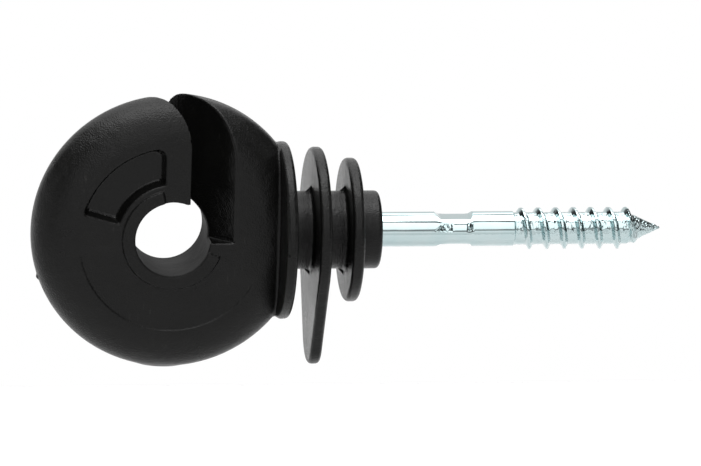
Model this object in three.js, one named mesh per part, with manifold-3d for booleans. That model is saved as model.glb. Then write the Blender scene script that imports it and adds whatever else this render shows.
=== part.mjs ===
// Ring insulator for an electric fence: a black moulded ring with a diagonal entry slit, a neck with
// three rain flanges, and a zinc-plated wood screw whose plain end is moulded into the neck.
//
// Millimetres. The origin is the centre of the neck's end face, on the screw's axis. +X runs along
// the screw to its point, the bore of the ring runs along Y, and +Z is up, where the slit opens.
// The front of the ring is its -Y face.

import * as THREE from "three";
import { mergeVertices } from "three/addons/utils/BufferGeometryUtils.js";
import Module from "manifold-3d";

const wasm = await Module();
wasm.setup();

// ---- Driving dimensions: ring head ----

const HEAD_RADIUS = 19.85;
const HEAD_THICKNESS = 10.3;
const FACE_RADIUS = 13.5; // the flat of each face; outside it the rim is rounded over
const RIM_FULLNESS = 2; // 2 rounds the rim as an ellipse; a higher number is squarer
const SHOULDER_FULLNESS = 3; // the rim at the back, between the slit and the neck
const HEAD_FLAT_DEPTH = 4.4; // how much of the disc the inner flange cuts off
const BORE_DIAMETER = 10.8;

const SLIT_WIDTH = 4.8; // square to its own walls
const SLIT_ANGLE = 42.5; // degrees away from straight through the ring
const SLIT_OFFSET = 1; // from the bore's axis towards the neck, halfway through the ring
const SLIT_FLOOR_DROP = 0.6; // how far the slit's floor lies below the bore's axis

const POCKET_DEPTH = 1.6;
const POCKET_DRAFT = 0.6; // how far the floor's outline lies inside the mouth's
const POCKET_WALL_TO_BORE = 2.4;
const POCKET_WALL_TO_SLIT = 3.6;
const POCKET_WALL_TO_RIM = 0.05;
const POCKET_END_ANGLE = 164; // degrees round the bore, where the pocket's radial end lies

const COLLAR_WIDTH = 1.9; // the low collar round the bore
const COLLAR_HEIGHT = 0.35;
const COLLAR_FROM = 102; // degrees round the bore
const COLLAR_TO = 340;

// ---- Driving dimensions: neck and flanges ----

const NECK_RADIUS = 5.6;
const NECK_EDGE_RADIUS = 0.6; // rounded edge of the end face
const BARREL_LENGTH = 3.2; // plain neck beyond the outer flange
const FLANGE_PITCH = 4.93; // from the middle of one flange to the next
const FLANGE_EDGE_RADIUS = 0.3;
const INNER_FLANGE_THICKNESS = 1.6;
const INNER_FLANGE_LIP = 0.25; // how far it stands out past the disc that it closes
const DRIP_FLANGE_THICKNESS = 1.7;
const DRIP_FLANGE_RADIUS = 11.9;
const DRIP_NOSE_REACH = 19.72; // screw axis to the lowest point of the drip nose
const DRIP_NOSE_RADIUS = 5;
const OUTER_FLANGE_THICKNESS = 1.75;
const OUTER_FLANGE_RADIUS = 10.3;

// ---- Driving dimensions: wood screw ----

const SCREW_REACH = 41; // neck end to the point
const PLASTIC_BEHIND_SCREW = 5.3; // between the screw's inner end and the bore
const SHANK_DIAMETER = 5;
const SHANK_CHAMFER = 0.5;

const CRIMP_HEIGHT = 3.66; // over the two pressed flats
const CRIMP_LENGTH = 5.85;
const CRIMP_RAMP = 0.9;
const CRIMP_BULGE = 0.25; // how far the metal spreads sideways
const CRIMP_START = 7.85; // neck end to the crimp that shows
const ANCHOR_TO_END = 5.9; // the screw's inner end to the crimp that holds in the plastic

const THREAD_DIAMETER = 6;
const THREAD_ROOT_DIAMETER = 4.6;
const THREAD_PITCH = 2.56;
const THREAD_LENGTH = 21.5; // shank step to the point
const THREAD_CREST_WIDTH = 0.3;
const THREAD_BASE_WIDTH = 1.15;
const THREAD_RUN_IN = 0.5; // turns over which the ridge rises
const THREAD_PHASE = 268; // degrees round the screw, from Y towards Z, where the ridge begins
const POINT_LENGTH = 5;
const POINT_PLAIN_LENGTH = 2.3; // the last of the point, where the ridge has died out

const MOULDING_CLEARANCE = 0.05; // between the shank and the plastic round it

// ---- Facets ----

const HEAD_SEGMENTS = 72;
const RIM_STEPS = 5;
const BORE_SEGMENTS = 40;
const ARC_DIVISIONS = 6; // half the chords in each arc of a pocket or collar
const NECK_SEGMENTS = 40;
const EDGE_STEPS = 2;
const SHANK_SEGMENTS = 24;
const STEPS_PER_TURN = 20;
const OVERSHOOT = 1; // how far a cutting tool runs past the surface it cuts

// ---- Shared places, all along X from the neck's end face ----

const OUTER_FLANGE_X = -BARREL_LENGTH - OUTER_FLANGE_THICKNESS / 2;
const DRIP_FLANGE_X = OUTER_FLANGE_X - FLANGE_PITCH;
const INNER_FLANGE_X = DRIP_FLANGE_X - FLANGE_PITCH;
const HEAD_END_X = INNER_FLANGE_X - INNER_FLANGE_THICKNESS / 2;
const BORE_X = HEAD_END_X - (HEAD_RADIUS - HEAD_FLAT_DEPTH);
const SCREW_END_X = BORE_X + BORE_DIAMETER / 2 + PLASTIC_BEHIND_SCREW;
const THREAD_START_X = SCREW_REACH - THREAD_LENGTH;
const POINT_START_X = SCREW_REACH - POINT_LENGTH;
const RIDGE_END_X = SCREW_REACH - POINT_PLAIN_LENGTH;

const FACE_Y = -HEAD_THICKNESS / 2;
const SHANK_RADIUS = SHANK_DIAMETER / 2;
const THREAD_HEIGHT = (THREAD_DIAMETER - THREAD_ROOT_DIAMETER) / 2;
const HEAD_END_HALF_WIDTH = Math.sqrt(HEAD_FLAT_DEPTH * (2 * HEAD_RADIUS - HEAD_FLAT_DEPTH));
const INNER_FLANGE_RADIUS = HEAD_END_HALF_WIDTH + INNER_FLANGE_LIP;
const radians = THREE.MathUtils.degToRad;

// ---- Solids ----

function solidOf(geometry) {
  const bare = geometry.clone();
  bare.deleteAttribute("normal");
  bare.deleteAttribute("uv");
  const merged = mergeVertices(bare, 1e-5);
  const mesh = new wasm.Mesh({
    numProp: 3,
    vertProperties: merged.attributes.position.array,
    triVerts: new Uint32Array(merged.index.array),
  });
  return new wasm.Manifold(mesh);
}

function geometryOf(solid) {
  const mesh = solid.getMesh();
  const geometry = new THREE.BufferGeometry();
  geometry.setAttribute("position", new THREE.BufferAttribute(mesh.vertProperties, 3));
  geometry.setIndex(new THREE.BufferAttribute(mesh.triVerts, 1));
  geometry.computeVertexNormals();
  return geometry;
}

// A solid of revolution about the screw's axis. Each point is [place along X, radius].
function turnedAboutX(points, segments) {
  const profile = points.map(([x, radius]) => new THREE.Vector2(radius, x));
  return new THREE.LatheGeometry(profile, segments).rotateZ(-Math.PI / 2);
}

// An outline drawn in Y and Z, given thickness along X from `start`.
function platedAlongX(shape, start, options) {
  const alongX = new THREE.Matrix4().makeBasis(
    new THREE.Vector3(0, 1, 0),
    new THREE.Vector3(0, 0, 1),
    new THREE.Vector3(1, 0, 0),
  );
  return new THREE.ExtrudeGeometry(shape, options).applyMatrix4(alongX).translate(start, 0, 0);
}

// An outline drawn round the bore on the front face, given depth outwards from `y`.
function platedOnFace(shape, y, options) {
  return new THREE.ExtrudeGeometry(shape, options).rotateX(Math.PI / 2).translate(BORE_X, y, 0);
}

// Both faces of the ring carry the same features, half a turn apart round the upright line through
// the bore. `make` gets the slit's offset as it is seen with the face in front.
function onBothFaces(make) {
  const back = make(-SLIT_OFFSET).translate([-BORE_X, 0, 0]).rotate([0, 0, 180]);
  return make(SLIT_OFFSET).add(back.translate([BORE_X, 0, 0]));
}

// ---- Ring head ----

// The disc's half section: flat faces that meet in a rounded rim, which may be fuller at the back.
function headDisc(backFullness) {
  const rim = [];
  for (let i = -RIM_STEPS; i <= RIM_STEPS; i++) {
    const angle = (Math.PI / 2) * (i / RIM_STEPS);
    const power = 2 / (i > 0 ? backFullness : RIM_FULLNESS);
    const outwards = Math.max(0, Math.cos(angle)) ** power;
    const across = Math.sign(i) * Math.abs(Math.sin(angle)) ** power;
    const radius = FACE_RADIUS + (HEAD_RADIUS - FACE_RADIUS) * outwards;
    rim.push(new THREE.Vector2(radius, (HEAD_THICKNESS / 2) * across));
  }
  const back = new THREE.Vector2(0, HEAD_THICKNESS / 2);
  const front = new THREE.Vector2(0, -HEAD_THICKNESS / 2);
  const disc = new THREE.LatheGeometry([front, ...rim, back], HEAD_SEGMENTS);
  return solidOf(disc.translate(BORE_X, 0, 0));
}

// The fuller rim at the back, from the slit's middle plane towards the neck.
function shoulder() {
  const size = 2 * HEAD_RADIUS;
  const side = new THREE.BoxGeometry(size, 2 * size, size).translate(size / 2, 0, size / 2);
  side.rotateZ(radians(SLIT_ANGLE)).translate(BORE_X + SLIT_OFFSET, 0, 0);
  return headDisc(SHOULDER_FULLNESS).intersect(solidOf(side));
}

// The part of the disc that the inner flange cuts off.
function discBeyondFlange() {
  const size = 2 * HEAD_RADIUS;
  return solidOf(new THREE.BoxGeometry(size, size, size).translate(INNER_FLANGE_X + size / 2, 0, 0));
}

function boreTool() {
  const radius = BORE_DIAMETER / 2;
  const length = HEAD_THICKNESS + 2 * (COLLAR_HEIGHT + OVERSHOOT);
  const bore = new THREE.CylinderGeometry(radius, radius, length, BORE_SEGMENTS);
  return solidOf(bore.translate(BORE_X, 0, 0));
}

// The slab that lets the rope drop into the bore: upright, and turned away from the bore's
// direction so that a tight rope can't lift out.
function slitTool() {
  const height = HEAD_RADIUS + SLIT_FLOOR_DROP + OVERSHOOT;
  const slab = new THREE.BoxGeometry(SLIT_WIDTH, 3 * HEAD_RADIUS, height);
  slab.rotateZ(radians(SLIT_ANGLE));
  return solidOf(slab.translate(BORE_X + SLIT_OFFSET, 0, height / 2 - SLIT_FLOOR_DROP));
}

// The edge of the slit's mouth that lies nearer the pocket, from the bore's axis.
function slitMouthEdge(slitOffset) {
  const angle = radians(SLIT_ANGLE);
  return slitOffset + (HEAD_THICKNESS / 2) * Math.tan(angle) - SLIT_WIDTH / 2 / Math.cos(angle);
}

// A pocket cored out of the thick plastic: an arc near the bore, a radial end, an arc along the
// rounded rim, and an upright wall beside the slit, all sloping in to the floor.
function pocketTool(slitOffset) {
  const inner = BORE_DIAMETER / 2 + POCKET_WALL_TO_BORE + POCKET_DRAFT;
  const outer = FACE_RADIUS - POCKET_WALL_TO_RIM - POCKET_DRAFT;
  const wall = slitMouthEdge(slitOffset) - POCKET_WALL_TO_SLIT - POCKET_DRAFT;
  const end = radians(POCKET_END_ANGLE);
  const outerEnd = end - Math.asin(POCKET_DRAFT / outer);
  const innerEnd = end - Math.asin(POCKET_DRAFT / inner);
  const floor = new THREE.Shape();
  floor.absarc(0, 0, outer, Math.acos(wall / outer), outerEnd, false);
  floor.absarc(0, 0, inner, innerEnd, Math.acos(wall / inner), true);
  const pocket = platedOnFace(floor, FACE_Y, {
    depth: OVERSHOOT,
    curveSegments: ARC_DIVISIONS,
    bevelThickness: POCKET_DEPTH,
    bevelSize: POCKET_DRAFT,
    bevelSegments: 1,
  });
  return solidOf(pocket);
}

// The low collar that stiffens the bore's mouth on the side away from the slit.
function collar() {
  const from = radians(COLLAR_FROM);
  const to = radians(COLLAR_TO);
  const bore = BORE_DIAMETER / 2;
  const shape = new THREE.Shape();
  shape.absarc(0, 0, bore + COLLAR_WIDTH, from, to, false);
  shape.absarc(0, 0, bore - OVERSHOOT, to, from, true);
  const options = {
    depth: COLLAR_HEIGHT + OVERSHOOT,
    curveSegments: 2 * ARC_DIVISIONS,
    bevelEnabled: false,
  };
  return solidOf(platedOnFace(shape, FACE_Y + OVERSHOOT, options));
}

// ---- Neck and flanges ----

// A quarter round, as [share along the edge's depth, share up to its full height].
function quarterRound() {
  const steps = Array.from({ length: EDGE_STEPS + 1 }, (_, i) => (Math.PI / 2) * (i / EDGE_STEPS));
  return steps.map((angle) => [1 - Math.cos(angle), Math.sin(angle)]);
}

// The outer edge of a round flange, from the side towards the head to the other one.
function flangeEdge(middle, thickness, radius) {
  const side = thickness / 2;
  const rise = quarterRound().map(([along, up]) => [
    FLANGE_EDGE_RADIUS * along - side,
    radius - FLANGE_EDGE_RADIUS * (1 - up),
  ]);
  const fall = rise.toReversed().map(([x, r]) => [-x, r]);
  return [...rise, ...fall].map(([x, r]) => [middle + x, r]);
}

// Neck, inner flange and outer flange in one turned shape, closed by the rounded end face.
function neck() {
  const endEdge = quarterRound().toReversed().map(([along, up]) => [
    -NECK_EDGE_RADIUS * along,
    NECK_RADIUS - NECK_EDGE_RADIUS * (1 - up),
  ]);
  const profile = [
    [HEAD_END_X, 0],
    ...flangeEdge(INNER_FLANGE_X, INNER_FLANGE_THICKNESS, INNER_FLANGE_RADIUS),
    [INNER_FLANGE_X + INNER_FLANGE_THICKNESS / 2, NECK_RADIUS],
    [OUTER_FLANGE_X - OUTER_FLANGE_THICKNESS / 2, NECK_RADIUS],
    ...flangeEdge(OUTER_FLANGE_X, OUTER_FLANGE_THICKNESS, OUTER_FLANGE_RADIUS),
    [OUTER_FLANGE_X + OUTER_FLANGE_THICKNESS / 2, NECK_RADIUS],
    ...endEdge,
    [0, 0],
  ];
  return solidOf(turnedAboutX(profile, NECK_SEGMENTS));
}

// The middle flange: a disc drawn out below into a nose that sheds water clear of the neck.
function dripFlange() {
  const radius = DRIP_FLANGE_RADIUS - FLANGE_EDGE_RADIUS;
  const noseRadius = DRIP_NOSE_RADIUS - FLANGE_EDGE_RADIUS;
  const noseCentre = DRIP_NOSE_REACH - DRIP_NOSE_RADIUS;
  const tangent = Math.acos((radius - noseRadius) / noseCentre);
  const down = -Math.PI / 2;
  const shape = new THREE.Shape();
  shape.absarc(0, 0, radius, down + tangent, down - tangent + 2 * Math.PI, false);
  shape.absarc(0, -noseCentre, noseRadius, down - tangent, down + tangent, false);
  const flat = DRIP_FLANGE_THICKNESS - 2 * FLANGE_EDGE_RADIUS;
  const plate = platedAlongX(shape, DRIP_FLANGE_X - flat / 2, {
    depth: flat,
    curveSegments: 2 * ARC_DIVISIONS,
    bevelThickness: FLANGE_EDGE_RADIUS,
    bevelSize: FLANGE_EDGE_RADIUS,
    bevelSegments: EDGE_STEPS,
  });
  return solidOf(plate);
}

// ---- Wood screw ----

const CRIMPS = [SCREW_END_X + ANCHOR_TO_END, CRIMP_START];

// The half section of the plain bar as far as its last crimp. With a clearance it is the hollow
// that the bar leaves in the plastic.
function barProfile(crimps, clearance) {
  const radius = SHANK_RADIUS + clearance;
  const bulge = radius + CRIMP_BULGE;
  const end = SCREW_END_X - clearance;
  const swellings = crimps.flatMap((x) => [
    [x, radius],
    [x + CRIMP_RAMP, bulge],
    [x + CRIMP_LENGTH - CRIMP_RAMP, bulge],
    [x + CRIMP_LENGTH, radius],
  ]);
  return [[end, 0], [end, radius - SHANK_CHAMFER], [end + SHANK_CHAMFER, radius], ...swellings];
}

// A block that presses one flat into the top of the bar, with a ramp at each end of the flat.
function crimpBlock(x, clearance) {
  const radius = SHANK_RADIUS + clearance;
  const flat = CRIMP_HEIGHT / 2 + clearance;
  const width = 2 * (radius + OVERSHOOT);
  const side = new THREE.Shape([
    new THREE.Vector2(x, radius),
    new THREE.Vector2(x + CRIMP_RAMP, flat),
    new THREE.Vector2(x + CRIMP_LENGTH - CRIMP_RAMP, flat),
    new THREE.Vector2(x + CRIMP_LENGTH, radius),
    new THREE.Vector2(x + CRIMP_LENGTH, radius + OVERSHOOT),
    new THREE.Vector2(x, radius + OVERSHOOT),
  ]);
  const block = new THREE.ExtrudeGeometry(side, { depth: width, bevelEnabled: false });
  return block.translate(0, 0, -width / 2).rotateX(Math.PI / 2);
}

function pressCrimps(bar, crimps, clearance) {
  return crimps.reduce((pressed, x) => {
    const upper = solidOf(crimpBlock(x, clearance));
    const lower = solidOf(crimpBlock(x, clearance).rotateX(Math.PI));
    return pressed.subtract(upper).subtract(lower);
  }, bar);
}

function socketTool() {
  const anchor = CRIMPS.slice(0, 1);
  const profile = [
    ...barProfile(anchor, MOULDING_CLEARANCE),
    [OVERSHOOT, SHANK_RADIUS + MOULDING_CLEARANCE],
    [OVERSHOOT, 0],
  ];
  const hollow = solidOf(turnedAboutX(profile, SHANK_SEGMENTS));
  return pressCrimps(hollow, anchor, MOULDING_CLEARANCE);
}

// The bar's radius under the thread: straight, then down to nothing at the point.
function rootRadius(x) {
  return (THREAD_ROOT_DIAMETER / 2) * Math.min(1, (SCREW_REACH - x) / POINT_LENGTH);
}

// The share of its full height that the ridge has at x: it rises at the shank and dies out on the
// point.
function ridgeShare(x) {
  const rise = (x - THREAD_START_X) / (THREAD_PITCH * THREAD_RUN_IN);
  const fall = (RIDGE_END_X - x) / (RIDGE_END_X - POINT_START_X);
  return THREE.MathUtils.clamp(Math.min(rise, fall), 0, 1);
}

// The line that the thread's ridge follows: a right-handed helix on the root, sunk where the ridge
// fades. Its frames keep the ridge's section upright on the bar.
class ThreadPath extends THREE.Curve {
  getPoint(t, target = new THREE.Vector3()) {
    const along = (RIDGE_END_X - THREAD_START_X) * t;
    const x = THREAD_START_X + along;
    const radius = rootRadius(x) - THREAD_HEIGHT * (1 - ridgeShare(x));
    const angle = radians(THREAD_PHASE) + (2 * Math.PI * along) / THREAD_PITCH;
    return target.set(x, radius * Math.cos(angle), radius * Math.sin(angle));
  }

  computeFrenetFrames(segments) {
    const frames = { tangents: [], normals: [], binormals: [] };
    for (let i = 0; i <= segments; i++) {
      const point = this.getPointAt(i / segments);
      const tangent = this.getTangentAt(i / segments);
      const outward = new THREE.Vector3(0, point.y, point.z).normalize();
      const across = new THREE.Vector3().crossVectors(tangent, outward).normalize();
      frames.tangents.push(tangent);
      frames.normals.push(outward);
      frames.binormals.push(across);
    }
    return frames;
  }
}

function threadRidge() {
  const sunk = THREAD_HEIGHT / 3; // the ridge's foot lies inside the bar
  const crest = THREAD_CREST_WIDTH / 2;
  const foot = crest + (THREAD_BASE_WIDTH / 2 - crest) * (1 + sunk / THREAD_HEIGHT);
  const section = new THREE.Shape([
    new THREE.Vector2(-sunk, -foot),
    new THREE.Vector2(THREAD_HEIGHT, -crest),
    new THREE.Vector2(THREAD_HEIGHT, crest),
    new THREE.Vector2(-sunk, foot),
  ]);
  const turns = (RIDGE_END_X - THREAD_START_X) / THREAD_PITCH;
  const steps = Math.ceil(turns * STEPS_PER_TURN);
  return solidOf(new THREE.ExtrudeGeometry(section, { steps, extrudePath: new ThreadPath() }));
}

function screwSolid() {
  const root = THREAD_ROOT_DIAMETER / 2;
  const profile = [
    ...barProfile(CRIMPS, 0),
    [THREAD_START_X, SHANK_RADIUS],
    [THREAD_START_X + SHANK_RADIUS - root, root],
    [POINT_START_X, root],
    [SCREW_REACH, 0],
  ];
  const bar = solidOf(turnedAboutX(profile, SHANK_SEGMENTS));
  return pressCrimps(bar, CRIMPS, 0).add(threadRidge());
}

// ---- Body: everything moulded in one shot ----

function bodySolid() {
  return headDisc(RIM_FULLNESS)
    .add(shoulder())
    .add(onBothFaces(collar))
    .subtract(discBeyondFlange())
    .add(neck())
    .add(dripFlange())
    .subtract(onBothFaces(pocketTool))
    .subtract(boreTool())
    .subtract(slitTool())
    .subtract(socketTool());
}

// ---- The assembly ----

const blackPolyamide = new THREE.MeshStandardMaterial({
  color: 0x1f1f1e,
  roughness: 0.45,
  metalness: 0,
});
const zincPlatedSteel = new THREE.MeshStandardMaterial({
  color: 0xc6cccf,
  roughness: 0.25,
  metalness: 1,
});

const fenceInsulator = new THREE.Group();

const insulatorBody = new THREE.Mesh(geometryOf(bodySolid()), blackPolyamide);
insulatorBody.name = "insulator_body";
fenceInsulator.add(insulatorBody);

const woodScrew = new THREE.Mesh(geometryOf(screwSolid()), zincPlatedSteel);
woodScrew.name = "wood_screw";
fenceInsulator.add(woodScrew);

export default fenceInsulator;
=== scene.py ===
# Ring insulator for an electric fence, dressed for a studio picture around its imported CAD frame.
#
# Two pieces: the black moulded body, whose skin is found from a distance field so that every
# inside corner has its fillet and every edge its radius, and the zinc-plated wood screw, turned as
# rings whose radius follows the crimps and the thread. Shapes are worked out in millimetres.

import math

import bpy
import numpy as np
from mathutils import Matrix, Vector


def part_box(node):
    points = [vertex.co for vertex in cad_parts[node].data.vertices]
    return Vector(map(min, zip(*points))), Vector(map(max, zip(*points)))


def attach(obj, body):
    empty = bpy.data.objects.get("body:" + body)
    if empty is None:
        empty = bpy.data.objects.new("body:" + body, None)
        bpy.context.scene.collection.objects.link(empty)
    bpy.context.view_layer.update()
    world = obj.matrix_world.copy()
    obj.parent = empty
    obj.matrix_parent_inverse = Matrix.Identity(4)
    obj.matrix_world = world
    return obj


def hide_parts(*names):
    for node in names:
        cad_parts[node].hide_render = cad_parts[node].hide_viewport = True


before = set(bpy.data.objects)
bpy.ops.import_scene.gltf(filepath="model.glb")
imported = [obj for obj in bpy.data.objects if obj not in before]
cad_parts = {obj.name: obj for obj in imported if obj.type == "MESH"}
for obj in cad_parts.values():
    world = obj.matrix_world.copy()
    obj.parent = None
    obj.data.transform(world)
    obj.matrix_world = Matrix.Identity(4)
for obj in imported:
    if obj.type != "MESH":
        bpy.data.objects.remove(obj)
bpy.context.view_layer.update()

MM = 0.001


def in_mm(corner):
    return np.array(corner) / MM


body_low, body_high = map(in_mm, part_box("insulator_body"))
screw_low, screw_high = map(in_mm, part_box("wood_screw"))

# ---- Sizes, in millimetres ----
#
# The body's places along X start at the bore's axis, and the screw's at the neck's end.

HEAD_RADIUS = -body_low[2]
HEAD_HALF = 5.15  # half the thickness between the two flat faces
FACE_RADIUS = 13.5
RIM_REACH = HEAD_RADIUS - FACE_RADIUS
SHOULDER_FULLNESS = 3.3  # how square the rim is at the back, from the slit to the neck; 2 is round
BORE_RADIUS = 5.4
BORE_X = body_low[0] + HEAD_RADIUS
NECK_END = body_high[0] - BORE_X

SLIT_HALF = 2.4
SLIT_TURN = math.radians(42.5)
SLIT_OFFSET = 1.0
SLIT_FLOOR = -0.6
SLIT_FLOOR_EDGE = 0.3
SLIT_BLUNT_EDGE = 0.28  # where the slit's wall and the face meet at an obtuse angle
SLIT_SHARP_EDGE = 0.1  # where they meet at an acute one
BORE_EDGE = 0.3

POCKET_DEPTH = 1.6
POCKET_INNER = 7.8
POCKET_OUTER = 13.45
POCKET_TO_SLIT = 3.6
POCKET_END = math.radians(164)
POCKET_DRAFT = 0.6 / POCKET_DEPTH
POCKET_RIM_DRAFT = 0.2  # the wall next to the rim stands steeper
POCKET_TOP_CORNER = 1.5
POCKET_CORNER = 0.6
POCKET_FLOOR_FILLET = 0.4
POCKET_EDGE = 0.25

COLLAR_RADIUS = 7.3
COLLAR_HEIGHT = 0.35
COLLAR_GAP_MIDDLE = math.radians(41)
COLLAR_GAP_HALF = math.radians(61)
COLLAR_EDGE = 0.14
COLLAR_FILLET = 0.12
SUNK_FACE = 0.14  # the face lies this much below the rim's edge over its lower half
SUNK_FROM, SUNK_TO = math.radians(182), math.radians(336)
FLASH_SPOTS = [  # flash left on the rim: degrees round it, half length, half width, how proud
    (-93, 3.2, 1.3, 0.16),  # the gate's stub
    (199.5, 0.5, 0.35, 0.22),
    (95, 0.6, 0.3, 0.25),
]
FLASH_ROOT = 0.3

NECK_RADIUS = 5.6
NECK_EDGE = 0.6
NECK_FILLET = 0.5
INNER_FLANGE_FILLET = 0.55
FIN_SIZE = 0.62
FIN_HALF = 0.22
FLANGE_EDGE = 0.6
INNER_FLANGE = {"x": 16.25, "thick": 1.6, "radius": 12.71}
DRIP_FLANGE = {"x": 21.18, "thick": 1.7, "radius": 11.9}
OUTER_FLANGE = {"x": 26.11, "thick": 1.75, "radius": 10.3}
NOSE_RADIUS = 5.0
NOSE_DROP = 14.72

SHANK_RADIUS = 2.5
ANCHOR_TO_END = 5.9
CRIMP_START = 7.85
CRIMP_LENGTH = 5.85
CRIMP_RAMPS = (1.2, 0.55)  # at the neck's end and the point's end of the flats
BULGE_RAMPS = (2.6, 1.3)
CRIMP_HALF = 1.83
CRIMP_BULGE = 0.25
CRIMP_FRONT = 2.0  # radius of the squeezed-out front and back of a crimp
CRIMP_FLAT_START = SHANK_RADIUS + 0.02  # a flat starts just clear of the bar
SHANK_CHAMFER = 0.5
THREAD_START = 19.5
ROOT_RADIUS = 2.3
THREAD_RADIUS = 3.0
PITCH = 2.56
CREST_WIDTH = 0.3
RIDGE_WIDTH = 1.15
RIDGE_PHASE = math.radians(268)
RUN_IN = 0.5 * PITCH
POINT_LENGTH = 5.0
POINT_PLAIN = 2.3
TIP_RADIUS = 0.3
DENT_SMOOTHING = 3
TOOTH_PITCH = 0.42  # the crimping tool's teeth, which bit into the front of the bar
TOOTH_DEPTH = 0.15
DENT_ON_THREAD = 0.013
DENT_ON_POINT = 0.02
SCREW_END = screw_low[0]
SCREW_REACH = screw_high[0]
SOCKET_CLEARANCE = 0.05
SOCKET_EDGE = 0.12

SKIN_CELL = 0.2
SKIN_TRIANGLES = 190_000
SCREW_SIDES = 144

# ---- Sizes of the studio, in millimetres ----

CAMERA_TURN, CAMERA_TILT, CAMERA_LEAN = map(math.radians, (8.487, 14.629, -1.761))
CAMERA_AWAY, CAMERA_ASIDE, CAMERA_ALOFT = 1211.0, -25.958, 0.324
PICTURE_WIDTH = 100.143  # what the camera takes in at the bore's distance
FLOOR_BELOW, FLOOR_HALF = 40, 130

# The tent's brightness at each angle round the X axis: 0 is level in front, 90 overhead, 180 level
# behind, and the negative ones lie below. The low values are gaps between its white panels.
TENT_ROUND = [
    (-180, 1.0), (-158, 1.0), (-145, 0.5), (-120, 0.7), (-14, 0.9), (-7, 1.15), (-1, 1.15), (0, 0.45),
    (10, 0.3), (12, 1.5), (22, 1.7), (57, 2.0), (59, 0.1), (66, 0.1), (68, 2.8), (73, 5.6), (97, 5.6),
    (106, 4.0), (115, 2.6), (116, 0.5), (124, 0.5), (125, 2.3), (142, 2.0), (150, 0.85), (180, 0.85),
]
# The share of that left by the black curtains at both ends, from straight along -X to +X. They hang
# no lower than the object, so light from below is whole.
TENT_CURTAINS = [
    (-1, 0.5), (-0.97, 0.5), (-0.93, 0.07), (-0.85, 0.03), (-0.74, 0.03), (-0.67, 0.1), (-0.6, 0.3),
    (-0.5, 0.85), (-0.4, 1), (0.3, 1), (0.42, 0.6), (0.52, 0.1), (0.66, 0.03), (0.9, 0.03), (0.96, 0.4),
    (1, 0.4),
]


# ---- Distance fields: negative inside, nought on the skin ----


def joined(a, b, fillet):
    """Both solids as one, with a fillet along the inside corner between them."""
    near = np.hypot(np.maximum(fillet - a, 0), np.maximum(fillet - b, 0))
    return np.maximum(fillet, np.minimum(a, b)) - near


def common(a, b, radius):
    """What two solids share, with the edge between them rounded."""
    near = np.hypot(np.maximum(radius + a, 0), np.maximum(radius + b, 0))
    return np.minimum(-radius, np.maximum(a, b)) + near


def cut(solid, tool, edge):
    """The solid with the tool's shape cut out of it, and the cut's edge rounded."""
    return common(solid, -tool, edge)


def eased(t):
    t = np.clip(t, 0, 1)
    return t * t * (3 - 2 * t)


def across_slit(x, y):
    """Distance from the slit's middle plane, positive on the neck's side at the front."""
    return (x - SLIT_OFFSET) * math.cos(SLIT_TURN) + y * math.sin(SLIT_TURN)


def sunk_face(around, angle):
    """How far the ring's face is sunk: nothing over its upper half, a little over its lower one."""
    below = eased((angle - SUNK_FROM) / 0.2) * eased((SUNK_TO - angle) / 0.2)
    return SUNK_FACE * below * eased((FACE_RADIUS - around) / 0.22)


def ring_disc(around, x, y, angle, angle_behind):
    """Flat faces that meet in a rounded rim; behind the slit's neck side the rim is fuller."""
    beyond = around - FACE_RADIUS
    from_below = eased((np.mod(angle + 1, 2 * math.pi) - 0.5) / 0.5)
    past_slit = (across_slit(x, y) > 0) * from_below * (x > -3)
    fullness = 2 + (SHOULDER_FULLNESS - 2) * past_slit * eased(y / 1.5)
    along, aside = np.maximum(beyond, 1e-6) / RIM_REACH, np.abs(y) / HEAD_HALF + 1e-6
    near = (along**fullness + aside**fullness) ** (1 / fullness)
    steep = np.hypot(along ** (fullness - 1) / RIM_REACH, aside ** (fullness - 1) / HEAD_HALF)
    rim = (near - 1) * near ** (fullness - 1) / np.maximum(steep, 1e-3)
    sunk = np.where(y < 0, sunk_face(around, angle), sunk_face(around, angle_behind))
    return np.where(beyond > 0, rim, np.abs(y) - HEAD_HALF + sunk)


def bore_collar(around, x, z, depth):
    """The low collar round one mouth of the bore. `depth` is measured in from the face."""
    ahead = x * math.cos(COLLAR_GAP_MIDDLE) + z * math.sin(COLLAR_GAP_MIDDLE)
    aside = np.abs(z * math.cos(COLLAR_GAP_MIDDLE) - x * math.sin(COLLAR_GAP_MIDDLE))
    gap = aside * math.cos(COLLAR_GAP_HALF) - ahead * math.sin(COLLAR_GAP_HALF)
    side = common(around - COLLAR_RADIUS - 0.2 * depth, -gap - 0.2 * depth, 0.3)
    return np.maximum(common(side, -depth - COLLAR_HEIGHT, COLLAR_EDGE), depth - 1)


def face_pocket(around, x, z, depth, slit_offset):
    """The pocket cored out of one face, its walls sloping in to a flat floor."""
    slit_mouth = slit_offset + HEAD_HALF * math.tan(SLIT_TURN) - SLIT_HALF / math.cos(SLIT_TURN)
    wall = x - (slit_mouth - POCKET_TO_SLIT)
    end = -x * math.sin(POCKET_END) + z * math.cos(POCKET_END)
    slope_in = depth * POCKET_DRAFT
    rim_side = around - POCKET_OUTER + depth * POCKET_RIM_DRAFT
    bore_side = POCKET_INNER - around + slope_in
    top_corner = common(rim_side, wall + slope_in, POCKET_TOP_CORNER)
    lower_corners = common(np.maximum(top_corner, bore_side), end + slope_in, POCKET_CORNER)
    walls = common(bore_side, lower_corners, POCKET_CORNER) / math.hypot(1, POCKET_DRAFT)
    return common(walls, depth - POCKET_DEPTH, POCKET_FLOOR_FILLET)


def entry_slit(x, y, z):
    return common(np.abs(across_slit(x, y)) - SLIT_HALF, SLIT_FLOOR - z, SLIT_FLOOR_EDGE)


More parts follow.
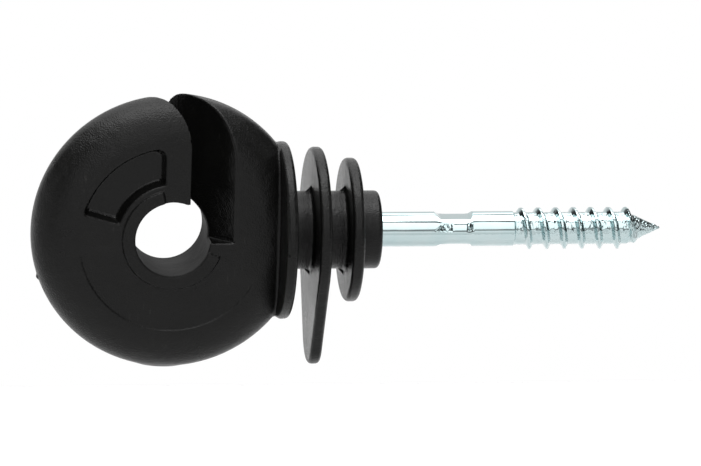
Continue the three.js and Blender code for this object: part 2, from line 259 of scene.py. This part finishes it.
def mould_flash(x, y, z):
    """The gate's stub under the ring, and two nicks of flash on its rim."""
    flash = np.full_like(x, 9.0)
    for degrees, long, wide, proud in FLASH_SPOTS:
        turn = math.radians(degrees)
        out = x * math.cos(turn) + z * math.sin(turn) - (HEAD_RADIUS - FLASH_ROOT)
        aside = z * math.cos(turn) - x * math.sin(turn)
        near = np.sqrt((out / (FLASH_ROOT + proud)) ** 2 + (aside / long) ** 2 + (y / wide) ** 2)
        flash = np.minimum(flash, (near - 1) * FLASH_ROOT)
    return flash


def ring_head(x, y, z):
    around = np.hypot(x, z)
    angle = np.mod(np.arctan2(z, x), 2 * math.pi)
    angle_behind = np.mod(np.arctan2(z, -x), 2 * math.pi)
    front, back = HEAD_HALF + y, HEAD_HALF - y
    head = ring_disc(around, x, y, angle, angle_behind)
    head = joined(head, mould_flash(x, y, z), COLLAR_FILLET)
    head = joined(head, bore_collar(around, x, z, front), COLLAR_FILLET)
    head = joined(head, bore_collar(around, -x, z, back), COLLAR_FILLET)
    head = cut(head, face_pocket(around, x, z, front, SLIT_OFFSET), POCKET_EDGE)
    return cut(head, face_pocket(around, -x, z, back, -SLIT_OFFSET), POCKET_EDGE)


def plate(outline, x, flange):
    """An outline given the flange's thickness, with its edges rounded."""
    out = outline + FLANGE_EDGE
    along = np.abs(x - flange["x"]) - flange["thick"] / 2 + FLANGE_EDGE
    inside = np.minimum(np.maximum(out, along), 0)
    return inside + np.hypot(np.maximum(out, 0), np.maximum(along, 0)) - FLANGE_EDGE


def drip_outline(y, z):
    """A disc drawn out below into a nose that sheds water clear of the neck."""
    y, down = np.abs(y), -z
    lean = (DRIP_FLANGE["radius"] - NOSE_RADIUS) / NOSE_DROP
    rise = math.sqrt(1 - lean**2)
    place = -lean * y + rise * down
    side = rise * y + lean * down - DRIP_FLANGE["radius"]
    disc = np.hypot(y, down) - DRIP_FLANGE["radius"]
    nose = np.hypot(y, down - NOSE_DROP) - NOSE_RADIUS
    return np.where(place < 0, disc, np.where(place > rise * NOSE_DROP, nose, side))


def corner_fin(x, y, z, flange):
    """A fin of flash on the parting line, in the corner between the neck and a flange."""
    from_flange = flange["x"] - flange["thick"] / 2 - x
    lean = (np.abs(z) - NECK_RADIUS) + from_flange
    sides = np.maximum(lean / math.sqrt(2) - FIN_SIZE, np.abs(y) - FIN_HALF)
    return np.maximum(sides, -from_flange - 0.4)


def neck_and_flanges(x, y, z):
    out = np.hypot(y, z)
    barrel = common(out - NECK_RADIUS, x - NECK_END, NECK_EDGE)
    neck = np.maximum(barrel, INNER_FLANGE["x"] - x)
    drip = plate(drip_outline(y, z), x, DRIP_FLANGE)
    outer = plate(out - OUTER_FLANGE["radius"], x, OUTER_FLANGE)
    inner = plate(out - INNER_FLANGE["radius"], x, INNER_FLANGE)
    neck = joined(joined(neck, drip, NECK_FILLET), outer, NECK_FILLET)
    for flange in (DRIP_FLANGE, OUTER_FLANGE):
        neck = joined(neck, corner_fin(x, y, z, flange), 0.2)
    return neck, inner


# ---- Screw: the bar's radius at each place along it and each angle round it ----


def crimp_share(into, ramps):
    """How far a crimp has formed, `into` millimetres from its start: nought to one."""
    return eased(np.minimum(into / ramps[0], (CRIMP_LENGTH - into) / ramps[1]))


def bar_radius(x, angle):
    """The plain bar, with its two crimps: flats above and below, squeezed out front and back."""
    radius = np.full_like(x, SHANK_RADIUS)
    across, up = np.abs(np.cos(angle)), np.abs(np.sin(angle))
    for start in (SCREW_END + ANCHOR_TO_END, CRIMP_START):
        pressed = crimp_share(x - start, CRIMP_RAMPS)
        bulged = crimp_share(x - start, BULGE_RAMPS)
        front = SHANK_RADIUS + (CRIMP_FRONT - SHANK_RADIUS) * bulged
        centre = (SHANK_RADIUS + CRIMP_BULGE - CRIMP_FRONT) * bulged
        swollen = centre * across + np.sqrt(front**2 - (centre * up) ** 2)
        flat = CRIMP_FLAT_START - (CRIMP_FLAT_START - CRIMP_HALF) * pressed
        squeezed = np.minimum(swollen, flat / np.maximum(up, 1e-3))
        radius = np.where(pressed > 0, squeezed, radius)
    return radius


def ridge_share(x):
    """How much of the thread's full height has formed: it runs in, and runs out on the point."""
    rise = (x - THREAD_START) / RUN_IN
    last = SCREW_REACH - POINT_PLAIN
    fall = (last - x) / (last - (SCREW_REACH - POINT_LENGTH))
    return eased(np.minimum(rise, fall))


def screw_radius(x, angle):
    """The bar, then the thread's root with its ridge wound round it, down to the rounded tip."""
    end = SCREW_REACH - x
    root = ROOT_RADIUS * np.minimum(1, (end + 0.12) / POINT_LENGTH)
    tip = np.sqrt(np.clip(end * (2 * TIP_RADIUS - np.minimum(end, TIP_RADIUS)), 0, None))
    root = np.where(end < TIP_RADIUS, np.minimum(root, tip), root)
    turn = RIDGE_PHASE + 2 * math.pi * (x - THREAD_START) / PITCH
    off = np.mod((angle - turn) / (2 * math.pi) + 0.5, 1) - 0.5
    away = np.abs(off) * PITCH
    height = (THREAD_RADIUS - ROOT_RADIUS) * ridge_share(x)
    slope = (RIDGE_WIDTH / 2 - away) / (RIDGE_WIDTH / 2 - CREST_WIDTH / 2)
    threaded = root + height * np.clip(slope, 0, 1)
    step = eased((x - THREAD_START) / 0.22)
    rolled = SHANK_RADIUS + (threaded - SHANK_RADIUS) * step
    return np.where(x < THREAD_START, bar_radius(x, angle), rolled)


def tool_bite(into, up):
    """Where the crimping tool's teeth bit, at both ends of the crimp's front: nought to one."""
    first = eased(into / 0.4) * eased((2.9 - into) / 0.4)
    last = eased((into - CRIMP_LENGTH + 1.2) / 0.3) * eased((CRIMP_LENGTH - into) / 0.3)
    top = 0.2 + 0.35 * eased(into / 1.2)
    return np.maximum(first, last) * eased((up - 0.06) / 0.08) * eased((top - up) / 0.1)


def roughened(radius, x, angle):
    """The crimping tool's tooth marks, and small dents on the rolled thread and the point."""
    dents = np.random.default_rng(5).standard_normal(radius.shape)
    for _ in range(DENT_SMOOTHING):
        dents = (dents + np.roll(dents, 1, 1) + np.roll(dents, -1, 1)) / 3
        dents[1:-1] = (dents[:-2] + dents[1:-1] + dents[2:]) / 3
    dents /= dents.std()
    into = x - CRIMP_START
    tooth = np.mod(into / TOOTH_PITCH + 0.25 * dents, 1)
    teeth = TOOTH_DEPTH * tooth * tool_bite(into, np.sin(angle))
    thread = eased((x - THREAD_START) / 0.5)
    point_start = SCREW_REACH - POINT_LENGTH
    point = eased((x - point_start) / 0.6) * eased((SCREW_REACH - 0.1 - x) / 0.6)
    return radius - teeth + dents * (DENT_ON_THREAD * thread + DENT_ON_POINT * point)


def body_skin(x, y, z):
    """The whole moulding. X starts at the bore's axis."""
    head = np.maximum(ring_head(x, y, z), x - INNER_FLANGE["x"])
    neck, inner = neck_and_flanges(x, y, z)
    body = joined(joined(head, inner, INNER_FLANGE_FILLET), neck, NECK_FILLET)
    body = cut(body, np.hypot(x, z) - BORE_RADIUS, BORE_EDGE)
    blunt = eased(0.5 - across_slit(x, y) * y / (2 * SLIT_HALF))
    edge = SLIT_SHARP_EDGE + (SLIT_BLUNT_EDGE - SLIT_SHARP_EDGE) * blunt
    body = cut(body, entry_slit(x, y, z), edge)
    along = x + BORE_X
    socket = np.hypot(y, z) - bar_radius(along, np.arctan2(z, y)) - SOCKET_CLEARANCE
    socket = np.maximum(socket, SCREW_END - SOCKET_CLEARANCE - along)
    return cut(body, socket, SOCKET_EDGE)


# ---- Skins to meshes ----


def slopes(field, points, step=0.02):
    """The field's value and gradient at each point, from four places round it."""
    corners = np.array([(1, -1, -1), (-1, -1, 1), (-1, 1, -1), (1, 1, 1)], float)
    total, gradient = 0, np.zeros_like(points)
    for corner in corners:
        value = field(*(points + step * corner).T)
        total = total + value
        gradient += value[:, None] * corner
    return total / 4, gradient / (4 * step)


def settle(field, points, rounds, most):
    """Moves the points onto the skin, each round by no more than `most`."""
    for _ in range(rounds):
        value, gradient = slopes(field, points)
        length = np.maximum((gradient**2).sum(1), 0.05)
        move = gradient * (value / length)[:, None]
        size = np.maximum(np.linalg.norm(move, axis=1), 1e-9)
        points = points - move * np.minimum(1, most / size)[:, None]
    return points


def sampled(field, axes):
    """The field on a grid, worked out in blocks; one far from the skin takes its middle's value."""
    shape = tuple(len(a) for a in axes)
    values = np.empty(shape, np.float32)
    block = 16
    cell = axes[0][1] - axes[0][0]
    reach = 0.9 * block * cell
    starts = [range(0, n, block) for n in shape]
    spans = [(i, j, k) for i in starts[0] for j in starts[1] for k in starts[2]]
    middles = np.array([
        [axes[d][min(span[d] + block // 2, shape[d] - 1)] for d in range(3)] for span in spans
    ])
    middle_values = field(*middles.T)
    for (i, j, k), middle in zip(spans, middle_values):
        part = np.s_[i:i + block, j:j + block, k:k + block]
        if abs(middle) > reach * 1.25:
            values[part] = middle
            continue
        corners = [axis[start:start + block] for axis, start in zip(axes, (i, j, k))]
        values[part] = field(*np.meshgrid(*corners, indexing="ij"))
    return values


def net(field, low, high, cell):
    """Quads over the skin: one point in each cell that it crosses, joined round each grid edge."""
    axes = [np.arange(lo - 2 * cell, hi + 3 * cell, cell) for lo, hi in zip(low, high)]
    values = sampled(field, axes)
    inside = values < 0
    corners = [(i, j, k) for i in (0, 1) for j in (0, 1) for k in (0, 1)]
    cells = tuple(n - 1 for n in values.shape)

    def at(corner, of):
        return of[tuple(slice(c, c + n) for c, n in zip(corner, cells))]

    count = sum(at(c, inside).astype(np.int8) for c in corners)
    active = np.argwhere((count > 0) & (count < 8))
    number = np.full(cells, -1, np.int64)
    number[tuple(active.T)] = np.arange(len(active))
    total, hits = np.zeros((len(active), 3)), np.zeros(len(active))
    for axis in range(3):
        step = np.eye(3, dtype=int)[axis]
        for corner in corners:
            if corner[axis]:
                continue
            start = active + corner
            a = values[tuple(start.T)]
            b = values[tuple((start + step).T)]
            crossed = (a < 0) != (b < 0)
            share = np.where(crossed, a / np.where(crossed, a - b, 1), 0)
            place = start + share[:, None] * step
            total += place * crossed[:, None]
            hits += crossed
    points = np.stack([axes[d][0] for d in range(3)]) + cell * total / hits[:, None]
    quads = []
    for axis in range(3):
        one, two = (axis + 1) % 3, (axis + 2) % 3
        step = np.eye(3, dtype=int)
        window = [slice(1, n - 1) for n in inside.shape]
        window[axis] = slice(0, -1)
        here = inside[tuple(window)]
        window[axis] = slice(1, None)
        ahead = inside[tuple(window)]
        edge = np.argwhere(here != ahead)
        leaving = here[tuple(edge.T)]
        edge = edge + step[one] + step[two]
        ring = [edge - step[one] - step[two], edge - step[two], edge, edge - step[one]]
        quad = np.stack([number[tuple(r.T)] for r in ring], 1)
        quad[~leaving] = quad[~leaving][:, ::-1]
        quads.append(quad)
    return points, np.concatenate(quads)


def mesh_of(name, points, faces, normals=None):
    """A piece from points in millimetres, shaded smooth, by the normals given if there are any."""
    mesh = bpy.data.meshes.new(name)
    mesh.from_pydata((points * MM).tolist(), [], faces)
    mesh.shade_smooth()
    if normals is not None:
        mesh.normals_split_custom_set_from_vertices(normals.tolist())
    piece = bpy.data.objects.new(name, mesh)
    bpy.context.scene.collection.objects.link(piece)
    return piece


def thinned(points, faces, triangles):
    """The same skin with fewer triangles on its flats."""
    draft = mesh_of("draft", points, faces.tolist())
    now = 2 * len(faces)
    modifier = draft.modifiers.new("thin", "DECIMATE")
    modifier.ratio = min(1, triangles / now)
    mesh = draft.evaluated_get(bpy.context.evaluated_depsgraph_get()).to_mesh()
    mesh.calc_loop_triangles()
    kept = np.empty(3 * len(mesh.vertices), np.float32)
    mesh.vertices.foreach_get("co", kept)
    corners = np.empty(3 * len(mesh.loop_triangles), np.int32)
    mesh.loop_triangles.foreach_get("vertices", corners)
    bpy.data.objects.remove(draft)
    return kept.reshape(-1, 3).astype(float) / MM, corners.reshape(-1, 3)


def build_body():
    shift = np.array([BORE_X, 0, 0])
    points, quads = net(body_skin, body_low - shift, body_high - shift, SKIN_CELL)
    points = settle(body_skin, points, 2, SKIN_CELL / 2)
    if 2 * len(quads) > SKIN_TRIANGLES:
        points, quads = thinned(points, quads, SKIN_TRIANGLES)
        points = settle(body_skin, points, 2, SKIN_CELL / 4)
    _, gradient = slopes(body_skin, points)
    normals = gradient / np.linalg.norm(gradient, axis=1)[:, None]
    return mesh_of("moulded_ring_and_neck", points + shift, quads.tolist(), normals)


def screw_places():
    """Where the screw's rings lie along it: close together on the crimps, thread and tip."""
    anchor = SCREW_END + ANCHOR_TO_END
    bar = [np.arange(SCREW_END + SHANK_CHAMFER, anchor, 0.8), np.arange(1.0, CRIMP_START, 0.8)]
    for start, stop in ((anchor, 1.0), (CRIMP_START, THREAD_START - 0.4)):
        end = start + CRIMP_LENGTH
        bar += [np.arange(start, end, 0.08), np.arange(end, stop, 0.8)]
    bar += [np.array([THREAD_START - 0.3, THREAD_START - 0.05])]
    bar = np.unique(np.concatenate(bar).round(4))
    thread = np.arange(THREAD_START, SCREW_REACH - TIP_RADIUS, 0.055)
    tip = SCREW_REACH - TIP_RADIUS * (1 - np.sin(np.linspace(0, 0.5 * math.pi, 7)))
    return np.concatenate([bar, thread, tip])


def screw_rings():
    """The x, radius and angle of every point, one row for each ring, from the flat end on."""
    angles = np.linspace(0, 2 * math.pi, SCREW_SIDES, endpoint=False)
    x, angle = np.meshgrid(screw_places(), angles, indexing="ij")
    radius = roughened(screw_radius(x, angle), x, angle)
    radius[-1] = 0.004
    flat_end = [(SCREW_END, 0.02), (SCREW_END, 1.0), (SCREW_END, SHANK_RADIUS - SHANK_CHAMFER)]
    flat_end = np.repeat(np.array(flat_end)[:, :, None], SCREW_SIDES, 2)
    x = np.vstack([flat_end[:, 0], x])
    radius = np.vstack([flat_end[:, 1], radius])
    return x, radius, np.repeat(angles[None], len(x), 0)


def build_screw():
    x, radius, angle = screw_rings()
    points = np.stack([x, radius * np.cos(angle), radius * np.sin(angle)], -1).reshape(-1, 3)
    points = np.vstack([points, [[SCREW_END, 0, 0], [SCREW_REACH, 0, 0]]])
    hub, apex = len(points) - 2, len(points) - 1
    row = np.arange(len(x))[:, None] * SCREW_SIDES
    side = np.arange(SCREW_SIDES)
    here, beside = row + side, row + (side + 1) % SCREW_SIDES
    quads = np.stack([beside[:-1], beside[1:], here[1:], here[:-1]], -1).reshape(-1, 4)
    caps = [(hub, b, a) for a, b in zip(here[0].tolist(), beside[0].tolist())]
    caps += [(apex, a, b) for a, b in zip(here[-1].tolist(), beside[-1].tolist())]
    piece = mesh_of("wood_screw_plated", points, quads.tolist() + caps)
    piece.data.set_sharp_from_angle(angle=math.radians(38))
    return piece


# ---- Finishes ----


def linear(code):
    """An sRGB hex colour as Blender's linear one."""
    parts = [int(code[i:i + 2], 16) / 255 for i in (1, 3, 5)]
    parts = [c / 12.92 if c <= 0.04045 else ((c + 0.055) / 1.055) ** 2.4 for c in parts]
    return (*parts, 1.0)


def add(tree, kind, inputs=None, take=None, **settings):
    """Adds a node. `inputs` gives a socket its number or colour, or the output linked to it. What
    comes back is the output called `take`, or the node."""
    node = tree.nodes.new(kind)
    for name, value in settings.items():
        setattr(node, name, value)
    for socket, value in (inputs or {}).items():
        if isinstance(value, bpy.types.NodeSocket):
            tree.links.new(value, node.inputs[socket])
        else:
            node.inputs[socket].default_value = value
    return node if take is None else node.outputs[take]


def new_finish(name):
    material = bpy.data.materials.new(name)
    material.use_nodes = True
    material.node_tree.nodes.clear()
    return material, material.node_tree


def cored_share(tree, parts, from_bore, around):
    """One where core pins and the slit's blade formed the plastic, nought on the grained skin."""
    from_middle = add(tree, "ShaderNodeMath", {0: parts["Y"]}, 0, operation="ABSOLUTE")
    below_face = add(tree, "ShaderNodeMapRange", {
        "Value": from_middle, "From Min": 4.75 * MM, "From Max": 4.95 * MM, "To Min": 1, "To Max": 0,
    }, "Result")
    in_face = add(tree, "ShaderNodeMapRange", {
        "Value": around, "From Min": 13.1 * MM, "From Max": 13.4 * MM, "To Min": 1, "To Max": 0,
    }, "Result")
    in_core = add(tree, "ShaderNodeMath", {0: below_face, 1: in_face}, 0, operation="MULTIPLY")
    slit_way = (math.cos(SLIT_TURN), math.sin(SLIT_TURN), 0)
    middle = SLIT_OFFSET * slit_way[0] * MM
    across = add(tree, "ShaderNodeVectorMath", {0: from_bore, 1: slit_way}, "Value", operation="DOT_PRODUCT")
    across = add(tree, "ShaderNodeMath", {0: across, 1: middle}, 0, operation="SUBTRACT")
    across = add(tree, "ShaderNodeMath", {0: across}, 0, operation="ABSOLUTE")
    beside_slit = add(tree, "ShaderNodeMapRange", {
        "Value": across, "From Min": 2.44 * MM, "From Max": 2.52 * MM, "To Min": 1, "To Max": 0,
    }, "Result")
    above_floor = add(tree, "ShaderNodeMapRange", {
        "Value": parts["Z"], "From Min": -0.8 * MM, "From Max": -0.5 * MM,
    }, "Result")
    on_slit = add(tree, "ShaderNodeMath", {0: beside_slit, 1: above_floor}, 0, operation="MULTIPLY")
    return add(tree, "ShaderNodeMath", {0: in_core, 1: on_slit}, 0, operation="MAXIMUM")


def polyamide_colour(tree, place, cloud):
    """Black in faint clouds, with pale streaks where the plastic has been rubbed."""
    stretched = add(tree, "ShaderNodeMapping", {
        "Vector": place, "Rotation": (0.3, 0.9, 0.2), "Scale": (1, 1, 0.12),
    }, 0)
    streaks = add(tree, "ShaderNodeTexNoise", {
        "Vector": stretched, "Scale": 1 / (0.35 * MM), "Detail": 1,
    }, "Fac")
    streaks = add(tree, "ShaderNodeMapRange", {
        "Value": streaks, "From Min": 0.66, "From Max": 0.74,
    }, "Result")
    patches = add(tree, "ShaderNodeMapRange", {"Value": cloud, "From Min": 0.52, "From Max": 0.62}, "Result")
    rubs = add(tree, "ShaderNodeMath", {0: streaks, 1: patches}, 0, operation="MULTIPLY")
    black = add(tree, "ShaderNodeMix", data_type="RGBA", inputs={
        "Factor": cloud, "A": linear("#070707"), "B": linear("#0d0d0c"),
    }, take="Result")
    return add(tree, "ShaderNodeMix", data_type="RGBA", inputs={
        "Factor": rubs, "A": black, "B": linear("#1e1e1d"),
    }, take="Result")


def polyamide_roughness(tree, parts, cloud, cored, around):
    """Satin on the grained skin, smoother on the neck and where cored, dull inside the bore."""
    neck_start = (BORE_X + INNER_FLANGE["x"]) * MM
    on_neck = add(tree, "ShaderNodeMapRange", {
        "Value": parts["X"], "From Min": neck_start - 0.5 * MM, "From Max": neck_start + 0.5 * MM,
    }, "Result")
    smooth = add(tree, "ShaderNodeMath", {0: cored, 1: on_neck}, 0, operation="MAXIMUM")
    base = add(tree, "ShaderNodeMapRange", {"Value": smooth, "To Min": 0.3, "To Max": 0.22}, "Result")
    uneven = add(tree, "ShaderNodeMapRange", {
        "Value": cloud, "From Min": 0.3, "From Max": 0.7, "To Min": -0.03, "To Max": 0.03,
    }, "Result")
    polish = add(tree, "ShaderNodeMapRange", {"Value": cored, "To Min": 0, "To Max": -0.08}, "Result")
    in_bore = add(tree, "ShaderNodeMapRange", {
        "Value": around, "From Min": 5.45 * MM, "From Max": 5.7 * MM, "To Min": 0.5, "To Max": 0,
    }, "Result")
    rough = add(tree, "ShaderNodeMath", {0: base, 1: uneven}, 0, operation="ADD")
    rough = add(tree, "ShaderNodeMath", {0: rough, 1: polish}, 0, operation="ADD")
    return add(tree, "ShaderNodeMath", {0: rough, 1: in_bore}, 0, operation="ADD")


def polyamide_relief(tree, place, parts, cored):
    """The parting line, the faint waves of shrinkage and the mould's grain."""
    from_middle = add(tree, "ShaderNodeMath", {0: parts["Y"]}, 0, operation="ABSOLUTE")
    parting = add(tree, "ShaderNodeMapRange", interpolation_type="SMOOTHSTEP", inputs={
        "Value": from_middle, "From Min": 0.05 * MM, "From Max": 0.16 * MM, "To Min": 1, "To Max": 0,
    }, take="Result")
    not_cored = add(tree, "ShaderNodeMapRange", {"Value": cored, "To Min": 1, "To Max": 0}, "Result")
    parting = add(tree, "ShaderNodeMath", {0: parting, 1: not_cored}, 0, operation="MULTIPLY")
    line = add(tree, "ShaderNodeBump", {"Height": parting, "Strength": 1, "Distance": 0.05 * MM}, 0)
    waves = add(tree, "ShaderNodeTexNoise", {"Vector": place, "Scale": 1 / (2.2 * MM), "Detail": 2}, "Fac")
    waves = add(tree, "ShaderNodeBump", {
        "Height": waves, "Strength": 1, "Distance": 0.12 * MM, "Normal": line,
    }, 0)
    # The mould's grain is about 0.05 mm wide, drawn coarser here so that it shows.
    grain = add(tree, "ShaderNodeTexNoise", {"Vector": place, "Scale": 1 / (0.2 * MM), "Detail": 1}, "Fac")
    share = add(tree, "ShaderNodeMapRange", {"Value": cored, "To Min": 1, "To Max": 0.45}, "Result")
    return add(tree, "ShaderNodeBump", {
        "Height": grain, "Strength": share, "Distance": 0.08 * MM, "Normal": waves,
    }, 0)


def moulded_black_polyamide():
    """Injection-moulded polyamide, black with carbon. The eye gets a satin black skin with the fine
    grain of a spark-eroded mould, smoother where core pins formed the bore, slit and pockets, a
    hair-thin parting line round the middle, and a few pale rubs."""
    material, tree = new_finish("moulded_black_polyamide")
    place = add(tree, "ShaderNodeTexCoord", take="Object")
    parts = add(tree, "ShaderNodeSeparateXYZ", {0: place}).outputs
    bore = (BORE_X * MM, 0, 0)
    from_bore = add(tree, "ShaderNodeVectorMath", {0: place, 1: bore}, 0, operation="SUBTRACT")
    level = add(tree, "ShaderNodeVectorMath", {0: from_bore, 1: (1, 0, 1)}, 0, operation="MULTIPLY")
    around = add(tree, "ShaderNodeVectorMath", {0: level}, "Value", operation="LENGTH")
    cloud = add(tree, "ShaderNodeTexNoise", {"Vector": place, "Scale": 1 / (6 * MM), "Detail": 3}, "Fac")
    cored = cored_share(tree, parts, from_bore, around)
    shader = add(tree, "ShaderNodeBsdfPrincipled", {
        "Base Color": polyamide_colour(tree, place, cloud),
        "Roughness": polyamide_roughness(tree, parts, cloud, cored, around),
        "Normal": polyamide_relief(tree, place, parts, cored),
        "IOR": 1.53,
        "Specular IOR Level": 0.19,
    }, "BSDF")
    add(tree, "ShaderNodeOutputMaterial", {"Surface": shader})
    return material


def bright_zinc_plate():
    """Bright electroplated zinc with a blue passivation, on cold-worked steel wire. The eye gets a
    mirror-like skin with a cold tint, faint clouds in it, and fine drawing lines along the bar."""
    material, tree = new_finish("bright_zinc_plate")
    place = add(tree, "ShaderNodeTexCoord", take="Object")
    cloud = add(tree, "ShaderNodeTexNoise", {"Vector": place, "Scale": 1 / (2.5 * MM), "Detail": 3}, "Fac")
    colour = add(tree, "ShaderNodeMix", data_type="RGBA", inputs={
        "Factor": cloud, "A": linear("#b0c8ca"), "B": linear("#c8d3d4"),
    }, take="Result")
    rough = add(tree, "ShaderNodeMapRange", {
        "Value": cloud, "From Min": 0.3, "From Max": 0.7, "To Min": 0.05, "To Max": 0.1,
    }, "Result")
    # Drawing lines are a few hundredths of a millimetre apart; these are ten times coarser.
    along = add(tree, "ShaderNodeMapping", {"Vector": place, "Scale": (0.06, 1, 1)}, 0)
    drawn = add(tree, "ShaderNodeTexNoise", {"Vector": along, "Scale": 1 / (0.35 * MM), "Detail": 2}, "Fac")
    lines = add(tree, "ShaderNodeBump", {"Height": drawn, "Strength": 1, "Distance": 0.008 * MM}, 0)
    shader = add(tree, "ShaderNodeBsdfPrincipled", {
        "Base Color": colour, "Roughness": rough, "Normal": lines, "Metallic": 1,
    }, "BSDF")
    add(tree, "ShaderNodeOutputMaterial", {"Surface": shader})
    return material


# ---- Studio ----


def set_stops(node, stops):
    """Grey stops of a ramp, as (place, brightness); the first place is its start, the last its end."""
    ramp = node.color_ramp
    first, last = stops[0][0], stops[-1][0]
    for i, (place, value) in enumerate(stops):
        share = (place - first) / (last - first)
        stop = ramp.elements[i] if i < 2 else ramp.elements.new(share)
        stop.position = share
        stop.color = (value, value, value, 1)


def light_tent():
    """White cloth round the object with narrow dark gaps between its panels, and a curtain at each
    end. Where nothing stands in front of it, the camera sees plain white."""
    world = bpy.data.worlds.new("light_tent")
    bpy.context.scene.world = world
    world.use_nodes = True
    tree = world.node_tree
    tree.nodes.clear()
    place = add(tree, "ShaderNodeTexCoord", take="Generated")
    way = add(tree, "ShaderNodeSeparateXYZ", {0: place}).outputs
    front = add(tree, "ShaderNodeMath", {0: way["Y"], 1: -1}, 0, operation="MULTIPLY")
    turn = add(tree, "ShaderNodeMath", {0: way["Z"], 1: front}, 0, operation="ARCTAN2")
    turn = add(tree, "ShaderNodeMapRange", {
        "Value": turn, "From Min": -math.pi, "From Max": math.pi,
    }, "Result")
    panels = add(tree, "ShaderNodeValToRGB", {0: turn})
    set_stops(panels, TENT_ROUND)
    sideways = add(tree, "ShaderNodeMapRange", {"Value": way["X"], "From Min": -1, "From Max": 1}, "Result")
    curtains = add(tree, "ShaderNodeValToRGB", {0: sideways})
    set_stops(curtains, TENT_CURTAINS)
    below = add(tree, "ShaderNodeMapRange", {
        "Value": way["Z"], "From Min": 0.02, "From Max": -0.02,
    }, "Result")
    ends = add(tree, "ShaderNodeMix", data_type="RGBA", inputs={
        "Factor": below, "A": curtains.outputs["Color"], "B": linear("#ffffff"),
    }, take="Result")
    both = add(tree, "ShaderNodeMix", data_type="RGBA", blend_type="MULTIPLY", inputs={
        "Factor": 1, "A": panels.outputs["Color"], "B": ends,
    }, take="Result")
    lit = add(tree, "ShaderNodeBackground", {"Color": both}, 0)
    plain = add(tree, "ShaderNodeBackground", {"Color": linear("#ffffff")}, 0)
    seen = add(tree, "ShaderNodeLightPath", take="Is Camera Ray")
    mixed = add(tree, "ShaderNodeMixShader", {0: seen, 1: lit, 2: plain}, 0)
    add(tree, "ShaderNodeOutputWorld", {"Surface": mixed})


def lay_floor():
    drop = body_low[2] - FLOOR_BELOW
    corners = [(-1, -1), (1, -1), (1, 1), (-1, 1)]
    points = np.array([(x * FLOOR_HALF, y * FLOOR_HALF, drop) for x, y in corners])
    floor = mesh_of("studio_floor", points, [(0, 1, 2, 3)])
    material, tree = new_finish("white_table")
    shader = add(tree, "ShaderNodeBsdfPrincipled", {
        "Base Color": linear("#cecece"), "Roughness": 0.9,
    }, "BSDF")
    add(tree, "ShaderNodeOutputMaterial", {"Surface": shader})
    floor.data.materials.append(material)


def set_camera():
    turn, tilt, lean = CAMERA_TURN, CAMERA_TILT, CAMERA_LEAN
    ahead = Vector((math.sin(turn) * math.cos(tilt), math.cos(turn) * math.cos(tilt), -math.sin(tilt)))
    right = Vector((math.cos(turn), -math.sin(turn), 0))
    up = right.cross(ahead)
    side = math.cos(lean) * right - math.sin(lean) * up
    top = math.sin(lean) * right + math.cos(lean) * up
    shift = CAMERA_ASIDE * side + CAMERA_ALOFT * top + CAMERA_AWAY * ahead
    lens = bpy.data.cameras.new("studio_camera")
    lens.lens = lens.sensor_width * CAMERA_AWAY / PICTURE_WIDTH
    lens.clip_start, lens.clip_end = 0.05, 60
    camera = bpy.data.objects.new("studio_camera", lens)
    axes = Matrix((side, top, -ahead)).transposed().to_4x4()
    camera.matrix_world = Matrix.Translation((Vector((BORE_X, 0, 0)) - shift) * MM) @ axes
    bpy.context.scene.collection.objects.link(camera)
    bpy.context.scene.camera = camera


body = build_body()
body.data.materials.append(moulded_black_polyamide())
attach(body, "root")
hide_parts("insulator_body")

screw = build_screw()
screw.data.materials.append(bright_zinc_plate())
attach(screw, "root")
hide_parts("wood_screw")

light_tent()
lay_floor()
set_camera()
bpy.context.scene.view_settings.view_transform = "Standard"
